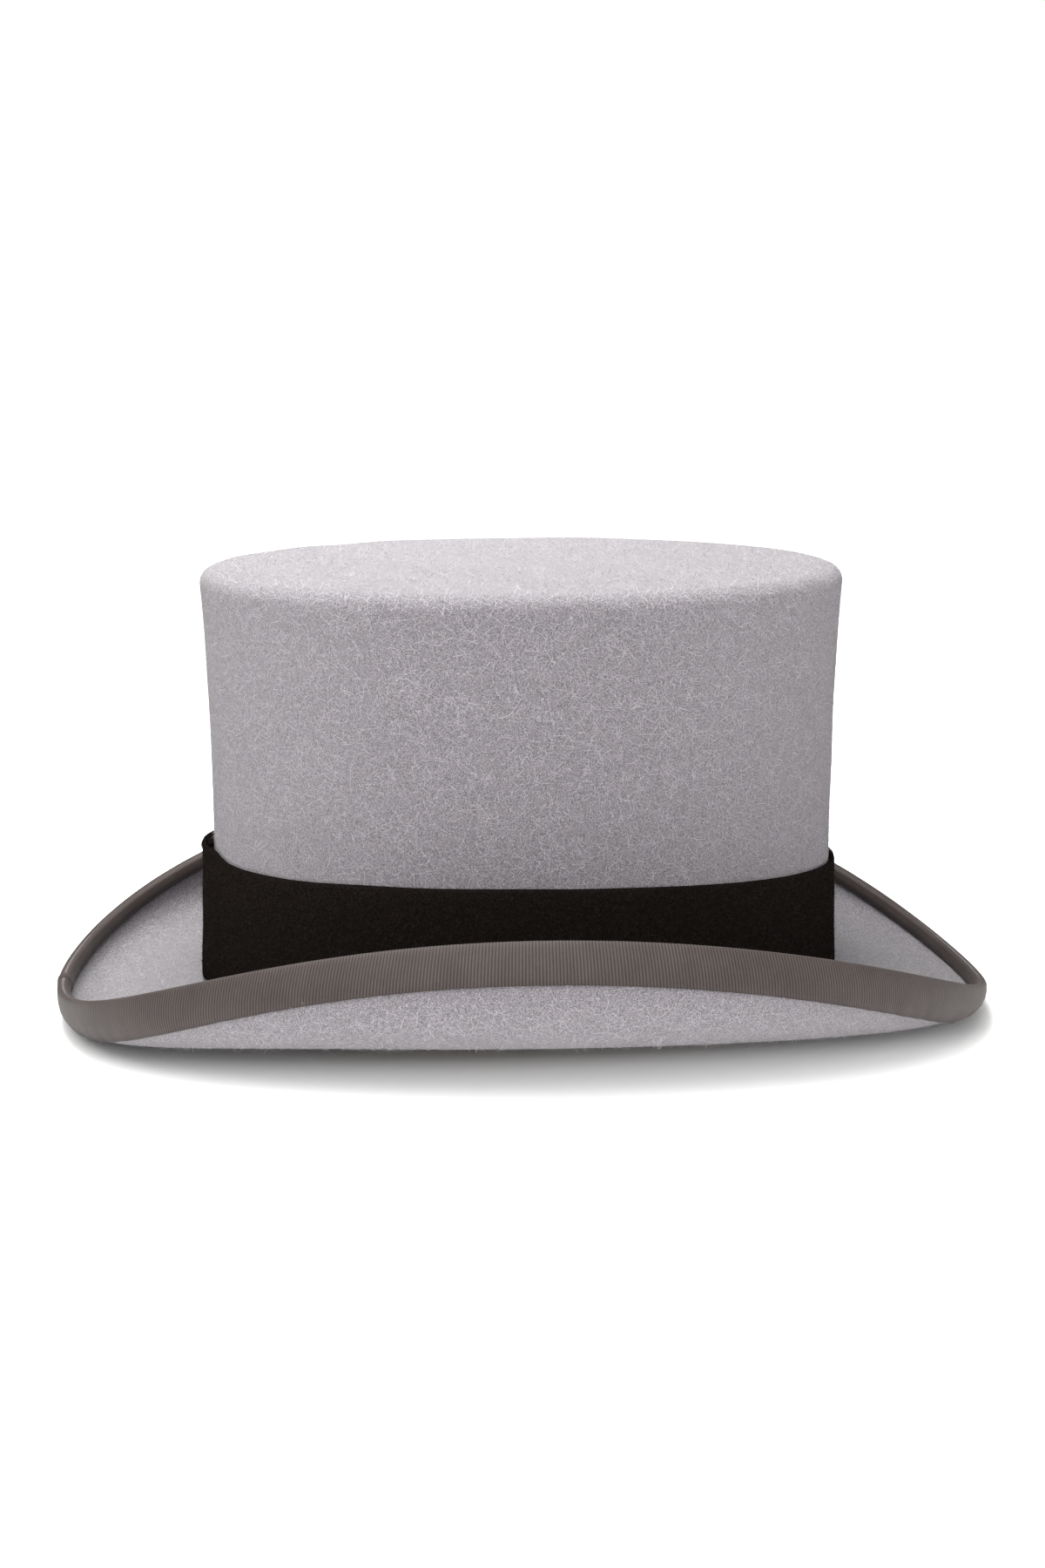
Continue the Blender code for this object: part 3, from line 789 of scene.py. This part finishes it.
def band_track():
    """Stations and middle depths of the band's strip, from its start to the end of its lap."""
    left, right = (length / SEAM_SPEED for length in BAND_LAP)
    ramp = BAND_RAMP / SEAM_SPEED
    under = -(0.2 + BAND_THICK / 2)
    over = under - BAND_THICK - 0.15
    t = np.linspace(BACK + right, BACK - left - TAU, 640)
    raised = np.clip((BACK + right + ramp - TAU - t) / ramp, 0, 1)
    raised = raised * raised * (3 - 2 * raised)
    return t, under + (over - under) * raised


def make_band():
    """The strip of black felt, its outer end corner rounded off, and the fibres on it."""
    t, depth = band_track()
    foot = break_height(t) + BAND_LIFT
    share = np.linspace(0, 1, 13)
    heights = band_top(t)[:, None] * (1 - share) + foot[:, None] * share
    round_corner = np.clip(1 - (t - t[-1]) * SEAM_SPEED / 2.0, 0, 1) ** 2
    heights += (share[None] ** 3) * round_corner[:, None]
    wander = smooth_noise(41, 6, 18.0, 55.0)
    sway = wander(t * MEAN_SPEED, 0.0)
    heights += (0.14 * sway[:, None]) * (1 - share)[None]
    grid = crown_point(t[:, None], heights, depth[:, None])
    grid = grid[::-1]
    soft = smooth_noise(42, 7, 9.0, 30.0)
    lift = 0.1 * soft(t[::-1, None] * MEAN_SPEED, heights[::-1])
    obj = sheet_solid("felt_band", grid, BAND_THICK, False, BLACK_FELT, rounding=4, lift=lift)
    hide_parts("hat_band")
    normal = grid_normals(grid, False)
    outer = grid + (BAND_THICK / 2 + lift[..., None]) * normal
    rows = np.ones((len(grid), grid.shape[1] - 1))
    rows[-1] = 0
    rim = np.stack([outer[:, 0], outer[:, 0] - BAND_THICK * normal[:, 0]], axis=1)
    upward = np.broadcast_to([0.0, 0.0, 1.0], rim.shape)
    rim_share = np.full((len(rim), 1), BAND_RIM_FUZZ)
    rim_share[-1] = 0
    faces = [(outer, normal, rows), (rim, upward, rim_share)]
    make_nap(
        "band_nap", faces, BAND_FIBRES, (0.7, 2.2), (0.04, 0.9), 0.1, NAP_BLACK, 43
    )


def stitch(angle, z, depth, turns, rises, dips):
    """A thread's path by a place on the crown's wall, from steps round, up and inwards."""
    return crown_point(angle + np.array(turns), z + np.array(rises), depth + np.array(dips))


def make_band_stitches():
    """Whip stitches over the lap's top edge and up its end, which hold the lap down."""
    t, depth = band_track()
    half = BAND_THICK / 2
    paths = []
    turns = (0.0, 0.0, -0.002, -0.004, -0.006)
    rises = (-1.7, -0.7, 0.25, 0.3, -0.6)
    dips = [-half - 0.05, -half - 0.22, -half * 0.6, half * 0.6, half + 0.15]
    first, last, pitch = (k / SEAM_SPEED for k in (-BAND_LAP[0], 4.0, TOP_STITCH_PITCH))
    for a in np.arange(BACK - TAU + first, BACK - TAU + last, pitch):
        paths.append(stitch(a, band_top(a), np.interp(-a, -t, depth), turns, rises, dips))
    end = t[-1]
    turns = np.array([1.8, 0.7, -0.25, -0.35, -0.8]) / SEAM_SPEED
    rises = (0.4, 0.2, 0.0, -0.1, -0.2)
    dips[3] = half * 0.4
    foot = break_height(end) + BAND_LIFT + 4.5
    for z in np.arange(foot, band_top(end) - 2.0, END_STITCH_PITCH):
        paths.append(stitch(end, z, depth[-1], turns, rises, dips))
    obj = tubes("band_stitches", paths, 0.22, THREAD_BLACK)


# ---- sweatband and its reed

LEATHER_THICK = 1.1
LEATHER_DEPTH = 5.05
LEATHER_FOOT = 2.8
LEATHER_TOP = 50.0
LEATHER_END_GAP = 0.8
LEATHER_PLAY = 0.12
HEM_PITCH = 3.0
ZIGZAGS, ZIGZAG_PITCH, ZIGZAG_HALF = 19, 2.45, 2.4
REED_RADIUS = 1.0
REED_DEPTH = 4.85
REED_HEIGHT = 0.8
REED_TAPE = 0.35
REED_TAPE_TOP = 9.0
REED_TAPE_OUTER_DEPTH = 3.375
REED_TAPE_INNER_DEPTH = 4.0


def open_round(count, gap):
    """Stations once round from the centre back, leaving a gap in mm between the ends."""
    half = gap / 2 / SEAM_SPEED
    return np.linspace(BACK + half, BACK + TAU - half, count)


def resample(path, count):
    """A path as points evenly spaced by length."""
    along = along_path(path)
    want = np.linspace(0, along[-1], count)
    return np.stack([np.interp(want, along, path[:, k]) for k in range(3)], axis=1)


def make_sweatband():
    """The leather, the running stitches along its foot and the zigzag over its back seam."""
    t = open_round(420, LEATHER_END_GAP)
    share = np.linspace(0, 1, 15)
    foot = break_height(t)
    wander = smooth_noise(51, 6, 25.0, 80.0)
    top = foot + LEATHER_TOP + 0.25 * wander(t * MEAN_SPEED, 0.0)
    heights = top[:, None] * (1 - share) + (foot + LEATHER_FOOT)[:, None] * share
    wave = smooth_noise(52, 7, 22.0, 60.0)
    depth = LEATHER_DEPTH + LEATHER_PLAY
    depth = depth + 0.1 * wave(t[:, None] * MEAN_SPEED, heights) * np.sin(share * math.pi)
    depth = depth + 0.35 * (1 - share) ** 4
    grid = crown_point(t[:, None], heights, depth)
    obj = sheet_solid("leather_sweatband", grid, LEATHER_THICK, False, LEATHER, rounding=4)
    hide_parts("sweatband")
    length = along_path(grid[:, 7])[-1] * MM
    face = LEATHER_DEPTH + LEATHER_THICK / 2 + LEATHER_PLAY
    paths = []
    turns = np.linspace(-1.15, 1.15, 5) / LEATHER_SPEED
    dips = (-0.35, 0.06, 0.16, 0.06, -0.35)
    for k in range(int(length / MM / HEM_PITCH)):
        a = t[0] + (k + 0.5) * HEM_PITCH / (length / MM) * (t[-1] - t[0])
        z = break_height(a) + LEATHER_FOOT + 2.2
        paths.append(stitch(a, z, face, turns, 0.0, dips))
    rises = np.linspace(0, ZIGZAG_PITCH, 6)
    dips = (-0.3, 0.12, 0.2, 0.2, 0.12, -0.3)
    for k in range(ZIGZAGS):
        z = break_height(BACK) + LEATHER_FOOT + 1.6 + k * ZIGZAG_PITCH
        zig = (1 if k % 2 else -1) * ZIGZAG_HALF / SEAM_SPEED
        paths.append(resample(stitch(BACK, z, face, np.linspace(-zig, zig, 6), rises, dips), 5))
    stitches = tubes("sweatband_stitches", paths, 0.17, THREAD_TAN)


def make_reed():
    """The plastic reed, and the tape that goes down, round it and up again."""
    t = open_round(400, 2 * LEATHER_END_GAP)
    line = crown_point(t, break_height(t) + REED_HEIGHT, REED_DEPTH)
    obj = tubes("reed_cord", line[None], REED_RADIUS - 0.02, REED_PLASTIC, sides=12)
    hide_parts("sweatband_reed")
    t = open_round(400, LEATHER_END_GAP)
    foot = break_height(t)
    radius = REED_RADIUS + 0.25 + REED_TAPE / 2
    rows = [crown_point(t, foot + z, REED_TAPE_OUTER_DEPTH) for z in (REED_TAPE_TOP, 6.0, 3.5)]
    for a in np.radians(np.linspace(175, 465, 15)):
        height = foot + REED_HEIGHT + radius * math.sin(a)
        rows.append(crown_point(t, height, REED_DEPTH + radius * math.cos(a)))
    for z in (REED_HEIGHT + 1.45 * radius, 4.0, 6.0, REED_TAPE_TOP):
        rows.append(crown_point(t, foot + z, REED_TAPE_INNER_DEPTH))
    grid = np.stack(rows, axis=1)
    tape = sheet_solid("reed_binding", grid, REED_TAPE, False, COTTON, rounding=1)
    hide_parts("reed_tape")


def patch_grid(angle, width, foot, height, depth):
    """A small strip bent to the oval, standing at a depth inside the crown."""
    a, b = CROWN_HALF_LENGTH, SEAM_SPEED
    half = width / 2 / math.hypot(a * math.sin(angle), b * math.cos(angle))
    base = float(break_height(angle)) + foot
    t = np.linspace(angle - half, angle + half, 13)
    z = np.linspace(base + height, base, 9)
    return crown_point(t[:, None], z, depth)


TICKET_ANGLE = math.radians(62)
TICKET_FOOT, TICKET_HEIGHT = 22.0, 10.0
TICKET_THICK, TICKET_DEPTH = 0.25, 6.1


def make_labels():
    """The seam's tape, the ticket with its size number, and the blank sewn tag."""
    grid = patch_grid(BACK, width=14.0, foot=10.5, height=33.5, depth=3.9)
    tape = sheet_solid("seam_tape", grid, 0.5, False, COTTON, rounding=2)
    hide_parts("sweatband_seam_tape")
    grid = patch_grid(TICKET_ANGLE, 16.0, TICKET_FOOT, TICKET_HEIGHT, TICKET_DEPTH)
    ticket = sheet_solid("paper_ticket", grid, TICKET_THICK, False, CARD, rounding=1)
    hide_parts("size_ticket")
    grid = patch_grid(math.radians(222), width=22.0, foot=29.0, height=30.0, depth=3.95)
    tag = sheet_solid("sewn_tag", grid, 0.5, False, LABEL, rounding=2)
    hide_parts("care_label")
    number = bpy.data.curves.new("ticket_number", "FONT")
    number.body = "57"
    number.size = 6.0 * MM
    number.extrude = 0.02 * MM
    number.align_x = "CENTER"
    number.align_y = "CENTER"
    number.materials.append(INK)
    text = new_object("ticket_number", number)
    z = float(break_height(TICKET_ANGLE)) + TICKET_FOOT + TICKET_HEIGHT / 2
    at = crown_point(TICKET_ANGLE, z, TICKET_DEPTH + TICKET_THICK / 2 + 0.03)
    back, deeper = (crown_point(TICKET_ANGLE, z, TICKET_DEPTH + k) for k in (0.0, 1.0))
    facing = Vector(unit(deeper - back))
    up = Vector((0, 0, 1))
    right = up.cross(facing).normalized()
    turn = Matrix((right, facing.cross(right), facing)).transposed().to_4x4()
    text.matrix_world = Matrix.Translation(Vector(at) * MM) @ turn
    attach(text, "root")


# ---- bow

BOW_RIBBON = 0.3
BOW_WIDTH = 4.6
BOW_HALF_SPAN = 11.0
BOW_DEPTH = 6.1
BOW_FULLNESS = 2.2
BOW_HEIGHT = 18.0
BOW_TAIL = 12.0


def bow_place(x, y, z):
    """A point of the bow, so far forward, across and up, bent round with the seam behind it."""
    base = crown_point(BACK, break_height(BACK) + BOW_HEIGHT, BOW_DEPTH)
    seam_radius = (SEAM_SPEED - BOW_DEPTH) ** 2 / CROWN_HALF_LENGTH
    x, y, z = np.broadcast_arrays(np.asarray(x, float), y, z)
    return base + np.stack([x + y * y / (2 * seam_radius), y, z], axis=-1)


def curve_through(points, count):
    """A smooth open line through points (Catmull-Rom), as count points."""
    p = np.vstack([2 * points[0] - points[1], points, 2 * points[-1] - points[-2]])
    u = np.linspace(0, len(points) - 1 - 1e-9, count)
    i = u.astype(int)
    f = (u - i)[:, None]
    a, b, c, d = (p[i + k] for k in range(4))
    curve = 2 * b + (c - a) * f + (2 * a - 5 * b + 4 * c - d) * f**2
    return 0.5 * (curve + (3 * b - a - 3 * c + d) * f**3)


def make_bow_loops():
    """Both loops as one closed turn of ribbon, pinched at the knot."""
    flat = BOW_HALF_SPAN - BOW_FULLNESS
    radius = BOW_FULLNESS / 2
    arc = np.radians(np.linspace(-90, 90, 7))
    turn = [(flat + radius * math.cos(a), radius + radius * math.sin(a)) for a in arc]
    front = [(flat * k, 2 * radius * (0.55 + 0.45 * k)) for k in (0.75, 0.5, 0.25, 0.06)]
    half = np.array([(0.8, 0.0), *turn, *front])
    path = np.vstack([half[::-1] * (-1, 1), half])
    line = curve_through(path, 90)
    rows = np.linspace(1, -1, 9)
    pinch = 0.62 + 0.38 * np.clip(np.abs(line[:, 0]) / 5.0, 0, 1)
    z = rows[None] * BOW_WIDTH / 2 * pinch[:, None]
    crease = 0.18 * np.cos(rows * 3.2)[None] * (1 - pinch)[:, None]
    grid = bow_place(np.maximum(line[:, 1:2], 0.02) + crease, line[:, :1], z)
    loops = sheet_solid("bow_loops", grid, BOW_RIBBON, False, BOW_SATIN, rounding=1)
    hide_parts("sweatband_bow_loops")


def make_bow_knot():
    """A short turn of ribbon round the loops."""
    reach = BOW_WIDTH / 2 * 0.66 + 0.3
    out = BOW_FULLNESS * 0.58 + 0.65
    upper = [(0.1, reach), (out * 0.6, reach + 0.12), (out, reach * 0.6)]
    lower = [(x, -z) for x, z in reversed(upper)]
    wrap = curve_through(np.array([*upper, (out + 0.1, 0.0), *lower]), 24)
    y = np.linspace(-1.9, 1.9, 9)
    sag = 0.12 * np.cos(y * 2.2)
    knot_grid = bow_place(wrap[None, :, 0] + sag[:, None], y[:, None], wrap[None, :, 1])
    knot = sheet_solid("bow_knot", knot_grid, BOW_RIBBON, False, BOW_SATIN, rounding=1)
    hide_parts("sweatband_bow_knot")


def make_bow_tails():
    """Both tails as one ribbon through the knot, slanting down and apart, with notched ends."""
    slope = math.radians(28.0)
    top = -BOW_WIDTH / 2 - 0.6 - 1.5 * BOW_RIBBON
    half_width = BOW_WIDTH / 2
    across = np.linspace(-1, 1, 5)
    sections = []
    for sign, lengths in ((-1, np.linspace(1, 0, 9)), (1, np.linspace(0, 1, 9))):
        for share in lengths:
            down = share * BOW_TAIL
            y = half_width * math.cos(slope) + down * math.sin(slope)
            z = top - half_width * math.sin(slope) - down * math.cos(slope)
            k = across * half_width
            notch = 1.4 * (1 - abs(across)) * (share > 0.99)
            ey = y + k * math.cos(slope) - notch * math.sin(slope)
            ez = z + k * math.sin(slope) + notch * math.cos(slope)
            curl = 0.5 + 0.5 * share * math.sin(share * 4.0)
            sections.append(bow_place(curl, sign * ey, ez))
    tails = sheet_solid("bow_tails", np.stack(sections), BOW_RIBBON, False, BOW_SATIN, rounding=1)
    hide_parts("sweatband_bow_tails")


# ---- lining


LINING_THICK = 0.35
LINING_DEPTH = 3.05
LINING_FOOT = 34.0
LINING_TOP = CROWN_TOP - 5.5
LINING_TIP = CROWN_TOP - 4.75
PIPING_RADIUS = 0.55
LINING_STITCH_PITCH = 3.2


def make_lining_wall():
    """The satin side piece, gathered into soft folds at the tip."""
    t = stations(720)
    share = np.linspace(0, 1, 17)
    foot = break_height(t) + LINING_FOOT
    heights = LINING_TOP * (1 - share) + foot[:, None] * share
    fold = smooth_noise(61, 5, 5.0, 11.0)
    ripple = fold(t * MEAN_SPEED, 0.0)[:, None]
    drift = smooth_noise(62, 6, 16.0, 60.0)(t[:, None] * MEAN_SPEED, heights)
    depth = LINING_DEPTH + 0.45 + 0.45 * ripple * (1 - share) ** 1.5
    depth = depth + 0.22 * drift * np.sin(share * math.pi)
    grid = crown_point(t[:, None], heights, np.maximum(depth, 2.95))
    wall = sheet_solid("lining_side", grid, LINING_THICK, True, IVORY_SATIN, rounding=1)
    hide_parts("lining_wall")


def make_lining_tip():
    """The satin's oval tip, a little uneven."""
    edge = crown_point(stations(720), LINING_TIP, 3.6)
    shares = np.linspace(0.04, 1.0, 22)
    puff = smooth_noise(63, 6, 30.0, 90.0)
    rows = edge[:, None] * np.stack([shares, shares, np.ones_like(shares)], axis=1)
    rows[..., 2] += 0.07 * puff(rows[..., 0], rows[..., 1]) - 0.05
    tip = sheet_solid("lining_top", rows, LINING_THICK, True, IVORY_SATIN, pole=True, rounding=1)
    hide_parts("lining_tip")


def make_lining_seam():
    """The piping between tip and side, and the stitches below it."""
    line = crown_point(stations(640), LINING_TOP - 0.4, 4.2)
    ring = np.vstack([line, line[:1]])
    cord = tubes("lining_piping", ring[None], PIPING_RADIUS, IVORY_SATIN, sides=8)
    paths = []
    turns = np.linspace(-1.1, 1.1, 5) / LINING_SPEED
    dips = (-0.2, 0.14, 0.24, 0.14, -0.2)
    for a in np.arange(0, TAU, LINING_STITCH_PITCH / LINING_SPEED):
        paths.append(stitch(a, LINING_TOP - 2.7, 3.95, turns, 0.0, dips))
    stitches = tubes("lining_stitches", paths, 0.12, THREAD_WHITE)


# ---- floor, light and camera, in metres


SUNS = (
    # name, direction it comes from, brightness of white card facing it, spread in degrees, tint
    ("key_sun", (-0.38, -0.40, 1.0), 0.66, 56.0, (0.995, 1.0, 0.99)),
    ("front_sun", (-0.15, -1.0, 0.75), 0.50, 70.0, (1.0, 0.998, 0.985)),
    ("low_sun", (-0.05, -1.0, 0.28), 0.07, 44.0, (1.0, 0.995, 0.965)),
    ("left_sun", (-1.2, -0.3, 0.6), 0.10, 50.0, (1.0, 1.0, 1.0)),
    ("right_sun", (1.2, -0.36, 0.12), 0.37, 50.0, (1.0, 1.0, 1.0)),
)
SOFTBOX_PLACE = (-0.09, 0.02, 0.60)
SOFTBOX_SIZE = 0.4
SOFTBOX_POWER = 6.9
SOFTBOX_TINT = (0.97, 1.0, 0.965)
WHITE = (1.0, 1.0, 1.0, 1.0)
AMBIENT = 0.35
FLOOR_WHITE = 0.85
# The floor's glow is painted light: none under the hat and rising outwards, it sets the shape of
# the hat's shadow and lights the brim from below. Places on it are scaled by the shape, and the
# stops are (length of the scaled place, strength).
PAINTED_GLOW_SHAPE = (1 / 0.46, 1 / 0.14, 0.0)
PAINTED_FLOOR_GLOW = [(0.39, 0.0), (0.46, 0.05), (0.58, 0.27), (0.77, 0.46)]
FLOOR_HALF_SIZE = 6.0
FLOOR_GAP = 0.0002
DOME_RADIUS = 9.0
DOME_GLOW = 1.05


def make_floor():
    """A pale floor, with a glow of painted light all round the hat and none under it."""
    mesh = bpy.data.meshes.new("floor")
    e = FLOOR_HALF_SIZE
    mesh.from_pydata([(-e, -e, 0), (e, -e, 0), (e, e, 0), (-e, e, 0)], [], [(0, 1, 2, 3)])
    looks = {"Specular IOR Level": 0.0, "Emission Color": WHITE}
    m = Nodes("floor", (FLOOR_WHITE,) * 3, 1.0, looks)
    place = m.add("VectorMath", {0: m.place(), 1: PAINTED_GLOW_SHAPE}, operation="MULTIPLY").outputs[0]
    away = m.add("VectorMath", {0: place}, operation="LENGTH").outputs["Value"]
    # painted light: the floor's emission grows with distance from the hat, shaping its shadow
    m.put(m.shader.inputs["Emission Strength"], m.ramp(away, PAINTED_FLOOR_GLOW))
    mesh.materials.append(m.material)
    floor = new_object("floor", mesh)
    floor.location.z = CAD_BOX[0][2] - FLOOR_GAP
    return floor


def make_surround():
    """A white dome that only the camera sees."""
    bpy.ops.mesh.primitive_uv_sphere_add(segments=48, ring_count=24, radius=DOME_RADIUS)
    dome = bpy.context.object
    dome.name = "surround"
    looks = {"Specular IOR Level": 0.0, "Emission Color": WHITE, "Emission Strength": DOME_GLOW}
    dome.data.materials.append(Nodes("surround", (0.0, 0.0, 0.0), 1.0, looks).material)
    dome.visible_diffuse = False
    dome.visible_glossy = False
    dome.visible_transmission = False
    dome.visible_shadow = False
    return dome


def make_lights():
    """Even light all round, broad soft suns and a softbox over the crown."""
    world = bpy.data.worlds.new("studio")
    world.use_nodes = True
    background = world.node_tree.nodes["Background"]
    background.inputs["Color"].default_value = WHITE
    background.inputs["Strength"].default_value = AMBIENT
    bpy.context.scene.world = world
    for name, direction, strength, spread, tint in SUNS:
        data = bpy.data.lights.new(name, "SUN")
        data.energy = strength * math.pi
        data.angle = math.radians(spread)
        data.color = tint
        lamp = new_object(name, data)
        lamp.rotation_euler = Vector(direction).to_track_quat("Z", "Y").to_euler()
    data = bpy.data.lights.new("top_softbox", "AREA")
    data.size = SOFTBOX_SIZE
    data.energy = SOFTBOX_POWER
    data.color = SOFTBOX_TINT
    new_object("top_softbox", data).location = SOFTBOX_PLACE


CAMERA_PLACE = (-0.0887, -0.8985, 0.2524)
CAMERA_DOWN, CAMERA_TURN, CAMERA_ROLL = 11.09, 5.64, -0.08
CAMERA_LENS = 62.82


def make_camera():
    data = bpy.data.cameras.new("camera")
    data.lens = CAMERA_LENS
    data.sensor_width = 36.0
    data.clip_start = 0.05
    camera = new_object("camera", data)
    pitch, yaw, roll = (math.radians(a) for a in (CAMERA_DOWN, CAMERA_TURN, CAMERA_ROLL))
    turn = Matrix.Rotation(-yaw, 4, "Z") @ Matrix.Rotation(math.pi / 2 - pitch, 4, "X")
    camera.matrix_world = Matrix.Translation(CAMERA_PLACE) @ turn @ Matrix.Rotation(roll, 4, "Z")
    bpy.context.scene.camera = camera
    bpy.context.scene.view_settings.view_transform = "Standard"


make_felt_nap(*make_felt())
make_binding()
make_band()
make_band_stitches()
make_sweatband()
make_reed()
make_labels()
make_bow_loops()
make_bow_knot()
make_bow_tails()
make_lining_wall()
make_lining_tip()
make_lining_seam()
floor = make_floor()
dome = make_surround()
make_lights()
make_camera()
